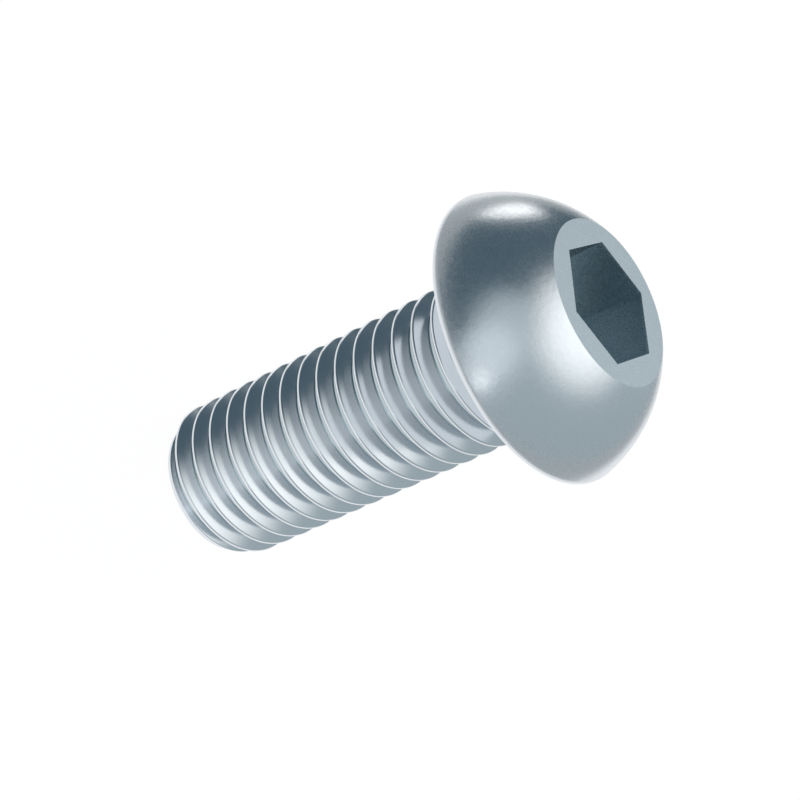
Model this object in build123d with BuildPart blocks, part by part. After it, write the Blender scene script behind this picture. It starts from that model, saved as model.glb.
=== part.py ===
from build123d import *

import os
from math import atan2, ceil, degrees, sqrt

# Button head socket screw, M12 x 30, with a hexagon socket and thread up to the head.
# Units are millimetres. The screw stands on its tip: +Z runs up the screw's axis and
# out of the socket, and the origin is the middle of the bearing face under the head.

# Shank
length = 30.0  # from the bearing face to the tip
neck_diameter = 10.8  # plain blank between the thread and the head
neck_length = 2.75
shoulder_length = 0.3  # slope from the crests down to the neck
neck_bevel = 0.5  # where the neck meets the bearing face

# Thread, right-hand: one V-groove that winds up the shank and runs out at the shoulder
thread_diameter = 11.86  # over the crests, a little under the nominal 12
pitch = 1.75
crest_width = 0.22
groove_depth = 0.42
groove_turn = 35.0  # angle from +X at which the groove starts and ends

# Tip
tip_diameter = 10.1  # flat end
tip_chamfer = 1.35  # length of the cone behind it

# Head
head_diameter = 21.0
head_height = 6.5
top_flat_diameter = 12.0
rim_height = 0.4  # bearing face to the start of the dome
edge_bevel = 0.2  # lower edge of the rim

# Hexagon socket
socket_size = 8.1  # across the flats
socket_depth = 4.3
socket_turn = 30.0  # turns the hexagon so that a corner faces -Y

# Sizes that follow from those above
thread_radius = thread_diameter / 2
neck_radius = neck_diameter / 2
tip_radius = tip_diameter / 2
head_radius = head_diameter / 2
flat_radius = top_flat_diameter / 2

# The groove is as wide as a pitch less one crest. Its cutter follows the same flanks on
# past the crests, to half a crest from its next turn, and leaves above the shoulder.
groove_radius = thread_radius - groove_depth
groove_half = (pitch - crest_width) / 2
cutter_half = groove_half + crest_width / 4
cutter_radius = groove_radius + groove_depth * cutter_half / groove_half
groove_start = neck_length + shoulder_length + pitch - cutter_half
turns = ceil((length + cutter_half - groove_start) / pitch) + 1

# The dome is part of a sphere about the axis, through the rim and the edge of the flat
dome_centre = (flat_radius**2 + head_height**2 - head_radius**2 - rim_height**2) / (
    2 * (head_height - rim_height)
)
dome_radius = sqrt(flat_radius**2 + (head_height - dome_centre) ** 2)
dome_start = degrees(atan2(rim_height - dome_centre, head_radius))
dome_end = degrees(atan2(head_height - dome_centre, flat_radius))

# One turn of the groove
with BuildPart() as groove:
    with BuildLine():
        turn = Helix(pitch, pitch, groove_radius)
    with BuildSketch(Plane.XZ):
        with BuildLine():
            lower_flank = Line((groove_radius, 0), (cutter_radius, -cutter_half))
            outside = Line(lower_flank @ 1, (cutter_radius, cutter_half))
            Line(outside @ 1, lower_flank @ 0)
        make_face()
    sweep(path=turn, is_frenet=True)

with BuildPart() as screw:
    # Tip, shank, neck and head, turned about Z as on a lathe
    with BuildSketch(Plane.XZ) as profile:
        with BuildLine():
            tip_face = Line((0, -length), (tip_radius, -length))
            tip_cone = Line(tip_face @ 1, (thread_radius, tip_chamfer - length))
            shank = Line(tip_cone @ 1, (thread_radius, -neck_length - shoulder_length))
            shoulder = Line(shank @ 1, (neck_radius, -neck_length))
            neck = Line(shoulder @ 1, (neck_radius, 0))
            bearing = Line(neck @ 1, (head_radius, 0))
            rim = Line(bearing @ 1, (head_radius, rim_height))
            dome = CenterArc((0, dome_centre), dome_radius, dome_start, dome_end - dome_start)
            top_flat = Line(dome @ 1, (0, head_height))
            Line(top_flat @ 1, tip_face @ 0)
        make_face()
        chamfer(profile.vertices().sort_by_distance(bearing @ 1)[0], edge_bevel)
        chamfer(profile.vertices().sort_by_distance(neck @ 1)[0], neck_bevel)
    revolve(axis=Axis.Z)

    # Thread, cut turn by turn from the shoulder to past the tip
    with Locations([(0, 0, -groove_start - pitch * i) for i in range(turns)]):
        add(groove.part, rotation=(0, 0, groove_turn), mode=Mode.SUBTRACT)

    # Socket, pressed into the flat
    with BuildSketch(Plane.XY.offset(head_height)):
        RegularPolygon(socket_size / 2, 6, major_radius=False, rotation=socket_turn)
    extrude(amount=-socket_depth, mode=Mode.SUBTRACT)

os.makedirs("parts", exist_ok=True)
screw.part.label = "screw"
export_step(screw.part, "parts/screw.step")
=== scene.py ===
# %% [markdown]
# # A button head socket screw, M12 x 30
#
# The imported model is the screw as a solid: tip, shank, neck, domed head and socket,
# with a thread of the right pitch that is kept shallow to save triangles. This
# notebook makes the same screw again as one finished mesh with the thread at its
# full depth, gives it a plated finish, and sets up the floor, light and camera.
#
# Everything is in metres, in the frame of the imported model. The screw stands on
# its tip, +Z runs up its axis, and the origin is under the head.

from math import atan2, ceil, cos, hypot, pi, radians, sin, sqrt, tan

import bmesh
import bpy
from mathutils import Matrix, Vector


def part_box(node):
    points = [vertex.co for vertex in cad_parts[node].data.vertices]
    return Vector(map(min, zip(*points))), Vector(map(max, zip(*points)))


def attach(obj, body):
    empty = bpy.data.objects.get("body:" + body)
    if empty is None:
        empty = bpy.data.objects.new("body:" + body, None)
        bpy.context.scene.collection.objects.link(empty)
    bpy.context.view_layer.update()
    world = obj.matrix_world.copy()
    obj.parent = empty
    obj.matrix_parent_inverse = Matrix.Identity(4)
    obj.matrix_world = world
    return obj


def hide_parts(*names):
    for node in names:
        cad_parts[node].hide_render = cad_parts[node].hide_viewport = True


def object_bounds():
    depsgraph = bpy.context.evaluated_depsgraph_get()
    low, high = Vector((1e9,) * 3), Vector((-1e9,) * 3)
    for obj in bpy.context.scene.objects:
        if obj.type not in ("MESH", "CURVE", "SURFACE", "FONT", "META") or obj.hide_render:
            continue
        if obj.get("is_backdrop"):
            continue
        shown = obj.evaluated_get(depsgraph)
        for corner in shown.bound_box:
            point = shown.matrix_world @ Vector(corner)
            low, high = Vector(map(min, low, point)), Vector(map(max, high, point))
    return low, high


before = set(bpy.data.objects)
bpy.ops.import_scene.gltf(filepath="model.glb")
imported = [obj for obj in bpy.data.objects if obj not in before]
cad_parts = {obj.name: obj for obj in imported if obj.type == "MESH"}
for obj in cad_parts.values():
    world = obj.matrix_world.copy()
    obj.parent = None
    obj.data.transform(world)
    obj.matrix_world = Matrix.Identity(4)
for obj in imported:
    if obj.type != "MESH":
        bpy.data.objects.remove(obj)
cad_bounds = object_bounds()
low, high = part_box("screw")
print("packed screw from", [round(c * 1000, 2) for c in low], "mm")
print("               to", [round(c * 1000, 2) for c in high], "mm")

# %% [markdown]
# ## The sizes of the screw
#
# A standard screw is known by a few sizes, and a drawing gives the rest. Lengths
# are in millimetres here, because that is how a screw is dimensioned, and the
# mesh is scaled to metres at the end. The overall length, the head's height and
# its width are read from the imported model, so that both always agree.

# %% Sizes of the blank
tip_z = low.z * 1000
head_top = high.z * 1000
head_radius = high.x * 1000
crest_radius = 5.93
tip_radius = 5.05
tip_chamfer = 1.35
neck_radius = 5.4
neck_fillet = 0.5
rim_height = 0.4
edge_rounding = 0.2
flat_radius = 6.0
socket_flats = 8.1
socket_depth = 4.3
print("length under the head", round(-tip_z, 2), "mm")
print("head", round(2 * head_radius, 2), "mm across")

# %% Sizes of the thread
pitch = 1.75
half_angle = radians(30)
crest_width = 0.22
root_width = 0.36
full_thread_end = -4.15
thread_depth = (pitch - crest_width - root_width) / 2 / tan(half_angle)
root_radius = crest_radius - thread_depth
print("thread depth", round(thread_depth, 3), "mm, core", round(2 * root_radius, 2), "mm across")

# %% [markdown]
# ## The outline without a thread
#
# A thread is cut into a turned blank, so the blank comes first: how far from the
# axis its surface lies at each height. The cone at the tip helps a screw to start
# in its nut, and a short slope leads from the crests down to the neck. Below the
# tip the outline just goes on, because the mesh is cut off flat there later.

# %% The blank's radius at a height
last_crest = full_thread_end + pitch - root_width / 2 - thread_depth * tan(half_angle)
neck_start = last_crest + (crest_radius - neck_radius) * tan(half_angle)
cone_end = tip_z + tip_chamfer


def blank_radius(z):
    if z < tip_z:
        return tip_radius
    if z < cone_end:
        return tip_radius + (crest_radius - tip_radius) * (z - tip_z) / tip_chamfer
    if z < last_crest:
        return crest_radius
    if z < neck_start:
        return crest_radius - (z - last_crest) / tan(half_angle)
    return neck_radius


print("last crest ends at", round(last_crest, 3), "mm")
print("neck starts at", round(neck_start, 3), "mm")

# %% [markdown]
# ## The thread
#
# Seen in a cut through the axis, each turn of the groove is a straight flank, a
# narrow floor and another flank. Going once round the screw, the whole row of
# grooves climbs by one pitch. So the mesh is made of cuts, one beside the other
# round the axis, each a little higher than the last, and the last cut meets the
# first one turn up. The rows of the mesh then follow the helix exactly, and the
# crests stay clean. A screw modifier could turn a profile too, but it couldn't
# give the chamfered start or the fading end.
#
# Each flank stops where it meets the blank's outline. The place is found by
# halving the distance until nothing is left of it. A millionth of a millimetre is
# allowed, so that a flank that lies on the shoulder's slope runs up all of it.

# %% Where a flank comes out of the blank
halvings = 40
allowance = 1e-6


def flank_end(floor_edge, floor_radius, side):
    near, far = 0.0, 1.5 * thread_depth * tan(half_angle)
    for halving in range(halvings):
        middle = (near + far) / 2
        flank_radius = floor_radius + middle / tan(half_angle)
        if flank_radius < blank_radius(floor_edge + side * middle) + allowance:
            near = middle
        else:
            far = middle
    return floor_edge + side * near


upper_edge = full_thread_end + root_width / 2
flank_height = flank_end(upper_edge, root_radius, 1) - upper_edge
print("a full flank is", round(flank_height, 3), "mm high")

# %% [markdown]
# The last turn fades out under the head. Its floor rises evenly from the core to
# the neck over one turn, and its flank nearer the tip stays on the helix, as the
# crest beside it is still a full one. Grooves are counted from the head, and the
# fading one is number 0.

# %% The place of one groove in a cut
groove_count = ceil((full_thread_end - tip_z) / pitch) + 1
neck_rise = neck_radius - root_radius


def groove_place(groove, turned):
    """Height of its middle, radius of its floor, and how full its roundings are."""
    middle = full_thread_end + pitch * (turned - groove)
    if groove > 0:
        return middle, root_radius, 1.0
    floor_radius = root_radius + neck_rise * turned
    return middle - neck_rise * tan(half_angle) * turned, floor_radius, 1 - turned


print("grooves in one cut:", groove_count + 1)

# %% [markdown]
# A cut is a list of corners: height, radius and how far the corner is rounded, or
# nothing for a plain point, such as the one in the middle of each crest. Rolled
# crests and roots are never sharp. The last crest has the same corners as all
# others, so that the cuts meet at the seam.

# %% The corners of one cut, from the tip to the neck
crest_rounding = 0.1
root_rounding = 0.09
neck_top = -neck_fillet - 1.2
fade_end = full_thread_end + pitch - neck_rise * tan(half_angle) + root_width / 2


def shank_corners(turned):
    corners = [(tip_z - 2 * pitch, tip_radius, None)]
    for groove in range(groove_count, -1, -1):
        middle, floor_radius, fullness = groove_place(groove, turned)
        lower, upper = middle - root_width / 2, middle + root_width / 2
        start = flank_end(lower, floor_radius, -1)
        end = flank_end(upper, floor_radius, 1)
        crest_middle = (corners[-1][0] + start) / 2
        corners.append((crest_middle, blank_radius(crest_middle), None))
        corners.append((start, blank_radius(start), crest_rounding))
        corners.append((lower, floor_radius, root_rounding))
        corners.append((upper, floor_radius, root_rounding * fullness))
        corners.append((end, blank_radius(end), crest_rounding * fullness))
    crest_middle = (end + max(last_crest, end)) / 2
    shoulder = [(crest_middle, None), (last_crest, crest_rounding)]
    shoulder += [(neck_start, root_rounding), (fade_end, None)]
    for z, rounding in shoulder:
        z = max(z, end)
        corners.append((z, blank_radius(z), rounding))
    corners.append((neck_top, neck_radius, None))
    return corners


print("corners in one cut of the shank:", len(shank_corners(0.0)))

# %% [markdown]
# A corner is rounded with a small curve through three points: one on each side of
# it, and the corner itself, which the curve leans towards but doesn't touch. The
# curve gets shorter where its neighbours are close, so that nothing overlaps, and
# it always has the same number of points, so that the cuts can be joined in rows.

# %% A point on the way from a corner to its neighbour
def distance(corner, other):
    return hypot(other[0] - corner[0], other[1] - corner[1])


def toward(corner, other, reach):
    gap = distance(corner, other)
    share = reach / gap if gap > 1e-9 else 0.0
    return tuple(c + (o - c) * share for c, o in zip(corner[:2], other[:2]))


print("halfway from (0, 0) to (0, 1):", toward((0, 0), (0, 1), 0.5))

# %% Round the corners of a cut
curve_steps = 3
share_beside_plain = 0.9
share_beside_rounded = 0.45


def rounding_curve(first, corner, last):
    for step in range(curve_steps + 1):
        t = step / curve_steps
        weights = ((1 - t) ** 2, 2 * t * (1 - t), t * t)
        yield tuple(sum(w * p[i] for w, p in zip(weights, (first, corner, last))) for i in (0, 1))


def round_corners(corners):
    points = [corners[0][:2]]
    for before, corner, after in zip(corners, corners[1:], corners[2:]):
        if corner[2] is None:
            points.append(corner[:2])
            continue
        reach = corner[2]
        for other in (before, after):
            share = share_beside_plain if other[2] is None else share_beside_rounded
            reach = min(reach, distance(corner, other) * share)
        first, last = toward(corner, before, reach), toward(corner, after, reach)
        points.extend(rounding_curve(first, corner, last))
    points.append(corners[-1][:2])
    return points


print("points in one cut of the shank:", len(round_corners(shank_corners(0.3))))

# %% [markdown]
# ## The head
#
# The head is round, so every cut through it is the same as far as the flat top:
# a fillet out of the neck, the flat bearing face, a rounded edge, a low upright
# rim, and the dome. The dome is part of a sphere, and its middle on the axis
# follows from the rim and the flat.

# %% The sphere of the dome
dome_span = 2 * (head_top - rim_height)
dome_middle = (flat_radius**2 + head_top**2 - head_radius**2 - rim_height**2) / dome_span
dome_radius = sqrt(flat_radius**2 + (head_top - dome_middle) ** 2)
dome_start = atan2(rim_height - dome_middle, head_radius)
dome_end = atan2(head_top - dome_middle, flat_radius)
print("dome radius", round(dome_radius, 2), "mm")
print("its middle is", round(dome_middle, 2), "mm from the bearing face")

# %% The head's outline, from the neck to the edge of the flat
def arc(middle_z, middle_r, radius, start, end, steps):
    angles = [start + (end - start) * i / steps for i in range(steps + 1)]
    return [(middle_z + radius * sin(a), middle_r + radius * cos(a)) for a in angles]


edge_middle = head_radius - edge_rounding
head_outline = arc(-neck_fillet, neck_radius + neck_fillet, neck_fillet, pi, pi / 2, 10)
head_outline += arc(edge_rounding, edge_middle, edge_rounding, -pi / 2, 0, 6)
head_outline += arc(dome_middle, 0, dome_radius, dome_start, dome_end, 44)
print("points in the head's outline:", len(head_outline))

# %% [markdown]
# From the edge of the flat inwards a cut depends on where it is, because the
# socket has six sides. With a whole number of cuts to each side, six of them run
# exactly through the corners, and the walls come out flat.

# %% The socket's outline at one angle
cuts = 192


def socket_radius(angle):
    side = round(angle / (pi / 3)) * (pi / 3)
    return socket_flats / 2 / cos(angle - side)


def socket_outline(angle):
    wall = socket_radius(angle)
    socket_floor = head_top - socket_depth
    return [
        (head_top, (flat_radius + wall) / 2),
        (head_top, wall),
        (head_top - socket_depth / 2, wall),
        (socket_floor, wall),
        (socket_floor, wall / 2),
        (socket_floor, 0.0),
    ]


print("socket", round(2 * socket_radius(0), 2), "mm over flats")
print("socket", round(2 * socket_radius(pi / 6), 2), "mm over corners")

# %% [markdown]
# ## One mesh
#
# All cuts are now joined, row by row. The first and the last cut lie in the same
# place, one turn apart along the rows, and merging points that coincide closes
# the seam.

# %% Join the cuts
same_place = 2e-7

mesh = bmesh.new()
columns = []
for cut in range(cuts + 1):
    turned = cut / cuts
    angle = 2 * pi * turned
    outline = round_corners(shank_corners(turned)) + head_outline + socket_outline(angle)
    places = [(r * cos(angle) / 1000, r * sin(angle) / 1000, z / 1000) for z, r in outline]
    columns.append([mesh.verts.new(place) for place in places])
for left, right in zip(columns, columns[1:]):
    for row in range(len(left) - 1):
        mesh.faces.new((left[row], right[row], right[row + 1], left[row + 1]))
bmesh.ops.remove_doubles(mesh, verts=mesh.verts, dist=same_place)
bmesh.ops.dissolve_degenerate(mesh, edges=mesh.edges, dist=same_place)
print("joined:", len(mesh.verts), "points")

# %% [markdown]
# Then a plane cuts the shank off at the tip, and a fan of triangles from the
# middle closes it, as the flat end face of the wire it was made from. The fan
# takes only the edges on that plane, so a crack anywhere else would stay open and
# show in the count of open edges.

# %% Cut off the tip and close it
bmesh.ops.bisect_plane(
    mesh,
    geom=list(mesh.verts) + list(mesh.edges) + list(mesh.faces),
    dist=1e-8,
    plane_co=(0, 0, tip_z / 1000),
    plane_no=(0, 0, 1),
    clear_inner=True,
)


def at_tip(edge):
    return edge.is_boundary and all(abs(v.co.z * 1000 - tip_z) < 1e-3 for v in edge.verts)


tip_edges = [edge for edge in mesh.edges if at_tip(edge)]
tip_middle = mesh.verts.new((0, 0, tip_z / 1000))
for edge in tip_edges:
    mesh.faces.new((edge.verts[0], edge.verts[1], tip_middle))
bmesh.ops.recalc_face_normals(mesh, faces=mesh.faces)
print("open edges:", sum(1 for edge in mesh.edges if not edge.is_manifold))
print("volume:", round(mesh.calc_volume() * 1e6, 3), "cm3")
print("triangles:", len(mesh.calc_loop_triangles()))

# %% [markdown]
# A rolled and pressed surface is smooth, but the rim of the flat, the socket's
# edges and the end face are crisp. Faces are shaded smooth except across edges
# that turn sharply, and beside the slivers where a crest's rounding runs out under
# the head.

# %% Smooth faces and crisp edges
sharp_turn = radians(40)
sliver_area = 2e-9


def is_flat_rim(edge):
    middle = (edge.verts[0].co + edge.verts[1].co) / 2 * 1000
    off_rim = abs(hypot(middle.x, middle.y) - flat_radius)
    return abs(middle.z - head_top) < 1e-3 and off_rim < 2e-2


def is_smooth(edge):
    if min(face.calc_area() for face in edge.link_faces) < sliver_area:
        return False
    return edge.calc_face_angle(0.0) < sharp_turn and not is_flat_rim(edge)


for face in mesh.faces:
    face.smooth = True
for edge in mesh.edges:
    if len(edge.link_faces) == 2:
        edge.smooth = is_smooth(edge)
print("crisp edges:", sum(1 for edge in mesh.edges if not edge.smooth))

# %% [markdown]
# The mesh becomes an object that rides on the screw's only body and stands for
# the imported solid. Where a wide face meets a narrow rounded one, its normals
# follow the wide face, so that flanks look flat right up to their edges.

# %% The screw as an object
screw_mesh = bpy.data.meshes.new("threaded_screw")
mesh.to_mesh(screw_mesh)
mesh.free()
screw = bpy.data.objects.new("threaded_screw", screw_mesh)
bpy.context.scene.collection.objects.link(screw)
even_shading = screw.modifiers.new("even_shading", "WEIGHTED_NORMAL")
even_shading.mode = "FACE_AREA"
even_shading.keep_sharp = True

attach(screw, "root")
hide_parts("screw")
print("screw mesh:", len(screw_mesh.vertices), "points,", len(screw_mesh.polygons), "faces")

# %% [markdown]
# ## The plating
#
# A material is a tree of nodes, and the light of the room is one too. One helper
# adds a node. It is told the node's kind, its inputs, and its way of working where
# it has several, such as what a Math node works out.

# %% Add a node to a tree
def add_node(tree, kind, inputs, way=None):
    """Each input is a number, a colour, or the output that is plugged into it."""
    made = tree.nodes.new("ShaderNode" + kind)
    if way and kind == "Mix":
        made.data_type = way
    elif way and kind == "MapRange":
        made.interpolation_type = way
    elif way:
        made.operation = way
    for name, value in inputs.items():
        if isinstance(value, bpy.types.NodeSocket):
            tree.links.new(value, made.inputs[name])
        else:
            made.inputs[name].default_value = value
    return made


print("helper ready: add_node(tree, kind, inputs, way)")

# %% [markdown]
# Bright zinc with a clear blue passivation is a metal finish: it has no colour of
# its own apart from what it reflects, slightly bluish. It isn't a mirror. The
# zinc is a fine crystal layer, which blurs reflections a little and breaks them
# up into a fine grain where light turns to dark.

# %% Zinc plating
grains_per_metre = 2700.0

plating = bpy.data.materials.new("zinc_plating")
plating.use_nodes = True
zinc = plating.node_tree
metal = zinc.nodes["Principled BSDF"]
metal.inputs["Metallic"].default_value = 1.0

on_screw = add_node(zinc, "TexCoord", {}).outputs["Object"]
spot = add_node(zinc, "SeparateXYZ", {"Vector": on_screw})
noise = {"Vector": on_screw, "Scale": grains_per_metre, "Detail": 3.0}
grain = add_node(zinc, "TexNoise", noise).outputs["Fac"]
print("largest grains about", round(1000 / grains_per_metre, 2), "mm")

# %% [markdown]
# The head was pressed and is satin, and the shank was rolled between hard dies,
# which leaves it smoother. So the grain is strong above the bearing face and
# faint below it. The crystals themselves are a very low relief, which a bump can
# give, as nobody could see it in the outline.

# %% Satin head, smoother shank
shank_roughness = 0.19
head_roughness = (0.2, 0.32)

bearing_face = {"From Min": -0.0005, "From Max": 0.0005}
step_up = add_node(zinc, "MapRange", {"Value": spot.outputs["Z"], **bearing_face})
on_head = step_up.outputs["Result"]

by_grain = {"Value": grain, "To Min": head_roughness[0], "To Max": head_roughness[1]}
satin = add_node(zinc, "MapRange", by_grain).outputs["Result"]
roughness = add_node(zinc, "Mix", {"Factor": on_head, "A": shank_roughness, "B": satin})
zinc.links.new(roughness.outputs["Result"], metal.inputs["Roughness"])
print("roughness", shank_roughness, "on the shank,", head_roughness, "on the head")

# %% Fine crystals
crystal_height = 0.00002

strength = add_node(zinc, "MapRange", {"Value": on_head, "To Min": 0.03, "To Max": 0.34})
relief = {"Height": grain, "Distance": crystal_height, "Strength": strength.outputs["Result"]}
crystals = add_node(zinc, "Bump", relief)
zinc.links.new(crystals.outputs["Normal"], metal.inputs["Normal"])
print("crystals up to", crystal_height * 1000, "mm high before their strength is applied")

# %% [markdown]
# The floor of the thread's groove and the inside of the socket are given a darker
# colour than the rest of the zinc: painted shade in these recesses. Both are found
# by their distance from the axis; the top and the tip's end face are as near to it,
# so their heights are left out.

# %% Where the recesses with painted shade are
def between(value, nothing, everything):
    """Rises softly from one place to the other, both in millimetres."""
    limits = {"From Min": nothing / 1000, "From Max": everything / 1000}
    step = add_node(zinc, "MapRange", {"Value": value, **limits}, "SMOOTHSTEP")
    return step.outputs["Result"]


def both(one, other):
    return add_node(zinc, "Math", {0: one, 1: other}, "MULTIPLY").outputs["Value"]


sideways_only = {"X": spot.outputs["X"], "Y": spot.outputs["Y"]}
across = add_node(zinc, "CombineXYZ", sideways_only).outputs["Vector"]
from_axis = add_node(zinc, "VectorMath", {0: across}, "LENGTH").outputs["Value"]
deep = between(from_axis, 5.08, 4.93)
below_top = between(spot.outputs["Z"], 6.45, 6.25)
above_tip = between(spot.outputs["Z"], -29.7, -29.4)
# This mask marks where painted shade darkens the zinc's colour: groove floors and the socket.
recess_painted_shade = both(both(deep, below_top), above_tip)
print("dull nearer to the axis than 5 mm")

# %% Bright zinc, and darker zinc as painted shade in the recesses
bright_zinc = (0.75, 0.79, 0.83, 1.0)
# A darker zinc colour, painted shade for the groove floors and the socket, not a different coat.
painted_shade_zinc = (0.53, 0.61, 0.65, 1.0)
zinc_with_painted_shade = add_node(zinc, "Mix", {"Factor": recess_painted_shade, "A": bright_zinc, "B": painted_shade_zinc}, "RGBA")
zinc.links.new(zinc_with_painted_shade.outputs["Result"], metal.inputs["Base Color"])
screw_mesh.materials.append(plating)
print("plating:", len(zinc.nodes), "nodes")

# %% [markdown]
# ## Floor, lights and camera
#
# The screw stands on a large pale floor. Around it the floor is white, for the
# camera and for what the metal reflects, and it softly turns to a pale grey
# further out. The white is a share of plain white mixed into the floor, not more
# light on the screw, and the matt rest keeps the screw's shadow.

# %% Floor
bpy.ops.mesh.primitive_circle_add(
    vertices=96, radius=2.3, fill_type="NGON", location=(0, 0, low.z)
)
floor = bpy.context.object
floor.name = "floor"
floor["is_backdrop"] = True
print("floor at", round(low.z * 1000, 2), "mm")

# %% Matt paper and plain white
paper = bpy.data.materials.new("pale_floor")
paper.use_nodes = True
floor_tree = paper.node_tree
matt = floor_tree.nodes["Principled BSDF"]
matt.inputs["Base Color"].default_value = (0.6, 0.6, 0.6, 1.0)
matt.inputs["Roughness"].default_value = 0.9
matt.inputs["Specular IOR Level"].default_value = 0.1
white = add_node(floor_tree, "Emission", {"Strength": 1.07})
print("floor material:", paper.name)

# %% Which rays see the white
rays = add_node(floor_tree, "LightPath", {}).outputs
mirrored = {0: rays["Is Glossy Ray"], 1: rays["Is Transmission Ray"]}
in_metal = add_node(floor_tree, "Math", mirrored, "MAXIMUM").outputs["Value"]
either = {0: rays["Is Camera Ray"], 1: in_metal}
seen = add_node(floor_tree, "Math", either, "MAXIMUM").outputs["Value"]
print("white for the camera and in reflections")

# %% The white pool around the screw
pool_middle = (0.003, 0.055, 0.0)
pool_reach = (0.06, 0.125, 1.0)

on_floor = add_node(floor_tree, "TexCoord", {}).outputs["Object"]
pool = add_node(floor_tree, "Mapping", {"Vector": on_floor})
pool.vector_type = "TEXTURE"
pool.inputs["Location"].default_value = pool_middle
pool.inputs["Scale"].default_value = pool_reach
away = add_node(floor_tree, "VectorMath", {0: pool.outputs["Vector"]}, "LENGTH").outputs["Value"]
soft_edge = {"From Min": 1.0, "From Max": 1.7, "To Min": 0.9, "To Max": 0.0}
in_pool = add_node(floor_tree, "MapRange", {"Value": away, **soft_edge}, "SMOOTHSTEP")
print("white pool", [round(2000 * reach) for reach in pool_reach[:2]], "mm, soft edge outside it")

# %% Mix the floor
share = add_node(floor_tree, "Math", {0: seen, 1: in_pool.outputs["Result"]}, "MULTIPLY")
layers = {"Fac": share.outputs["Value"], 1: matt.outputs["BSDF"], 2: white.outputs["Emission"]}
blend = add_node(floor_tree, "MixShader", layers)
surface = floor_tree.nodes["Material Output"].inputs["Surface"]
floor_tree.links.new(blend.outputs["Shader"], surface)
floor.data.materials.append(paper)
print("floor:", len(floor_tree.nodes), "nodes")

# %% [markdown]
# Metal shows what is around it, so the room matters as much as its lights. It is
# blue-grey, darker on one side than on the other. That gives the dome its dark
# half and its light half.

# %% The room around
world = bpy.data.worlds.new("studio")
bpy.context.scene.world = world
world.use_nodes = True
room = world.node_tree
direction = add_node(room, "TexCoord", {}).outputs["Generated"]
east = add_node(room, "SeparateXYZ", {"Vector": direction}).outputs["X"]
turn_of_tone = {"Value": east, "From Min": -0.45, "From Max": 0.2}
side = add_node(room, "MapRange", turn_of_tone, "SMOOTHSTEP").outputs["Result"]
dark_wall = (0.075, 0.118, 0.148, 1.0)
light_wall = (0.385, 0.446, 0.475, 1.0)
walls = add_node(room, "Mix", {"Factor": side, "A": dark_wall, "B": light_wall}, "RGBA")
print("room: two tones, blended across X")

# %% [markdown]
# The lights are soft round ones, each full in its middle and fading to nothing at
# its edge. A wide one overhead gives the top its sheen, a small strong one behind
# the screw lights it without showing in the metal that faces the camera, and the
# others are the soft spots that the dome and the flanks pick up.

# %% A soft light in the room
def soft_light(colour_so_far, azimuth, elevation, full, none, colour):
    """Full within one angle of its direction, and nothing beyond the other."""
    a, e = radians(azimuth), radians(elevation)
    middle = (cos(a) * cos(e), sin(a) * cos(e), sin(e))
    nearness = add_node(room, "VectorMath", {0: direction, 1: middle}, "DOT_PRODUCT")
    edge = {"From Min": cos(radians(none)), "From Max": cos(radians(full))}
    glow = add_node(room, "MapRange", {"Value": nearness.outputs["Value"], **edge}, "SMOOTHSTEP")
    layers = {"Factor": glow.outputs["Result"], "A": colour_so_far, "B": colour}
    added = add_node(room, "Mix", layers, "RGBA")
    print("light at azimuth", azimuth, "and elevation", elevation, "degrees")
    return added.outputs["Result"]


# %% All soft lights
around = walls.outputs["Result"]
# what the head's flat top shows
around = soft_light(around, 85, 30, 8, 32, (0.46, 0.53, 0.56, 1.0))
# the strong one, high behind the screw
around = soft_light(around, 75, 63, 8, 22, (4.8, 4.9, 4.9, 1.0))
# the wide one overhead, a broad sheen beside the flat
around = soft_light(around, 20, 82, 1, 47, (1.31, 1.33, 1.31, 1.0))
# a soft field on the dome, its lighter middle, and a small spot low down
around = soft_light(around, -110, 41, 1, 30, (0.50, 0.56, 0.59, 1.0))
around = soft_light(around, -90, 24, 10, 26, (0.76, 0.82, 0.85, 1.0))
around = soft_light(around, -74, 9, 2, 10, (1.4, 1.45, 1.47, 1.0))
# the sheen on the far shoulder of the dome
around = soft_light(around, 143, 1, 8, 16, (1.7, 1.68, 1.63, 1.0))
room.links.new(around, room.nodes["Background"].inputs["Color"])
print("room:", len(room.nodes), "nodes")

# %% [markdown]
# The camera aims at the middle of the screw's height from the side, a little
# above it, and leans, so that the upright screw lies across the picture with its
# head at the upper right.

# %% Where the camera stands and how it leans
aim = Vector((0, 0, -0.01184))
distance_to_aim = 0.15575
azimuth, elevation, lean = radians(-85.82), radians(33.80), radians(65.0)
back = Vector((cos(azimuth) * cos(elevation), sin(azimuth) * cos(elevation), sin(elevation)))
upright = (Vector((0, 0, 1)) - back * back.z).normalized()
sideways = upright.cross(back)
up = upright * cos(lean) - sideways * sin(lean)
right = up.cross(back)
print("camera looks along", [round(-c, 3) for c in back])

# %% Camera
camera_data = bpy.data.cameras.new("camera")
camera_data.sensor_width = 36.0
camera_data.lens = 99.419
camera_data.clip_start = 0.01
camera_data.clip_end = 10.0
camera = bpy.data.objects.new("camera", camera_data)
turn = Matrix((right, up, back)).transposed()
camera.matrix_world = Matrix.Translation(aim + back * distance_to_aim) @ turn.to_4x4()
bpy.context.scene.collection.objects.link(camera)
bpy.context.scene.camera = camera
print("camera at", [round(c * 1000, 2) for c in camera.matrix_world.translation], "mm")

# %% [markdown]
# ## Finish
#
# Colours are shown as they are, without a film look. At the end the box of the
# finished screw is printed beside that of the imported model.

bpy.context.scene.view_settings.view_transform = "Standard"
seen_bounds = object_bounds()
for name, box in (("packed model", cad_bounds), ("finished mesh", seen_bounds)):
    print("box of the", name, [[round(c * 1000, 3) for c in corner] for corner in box])
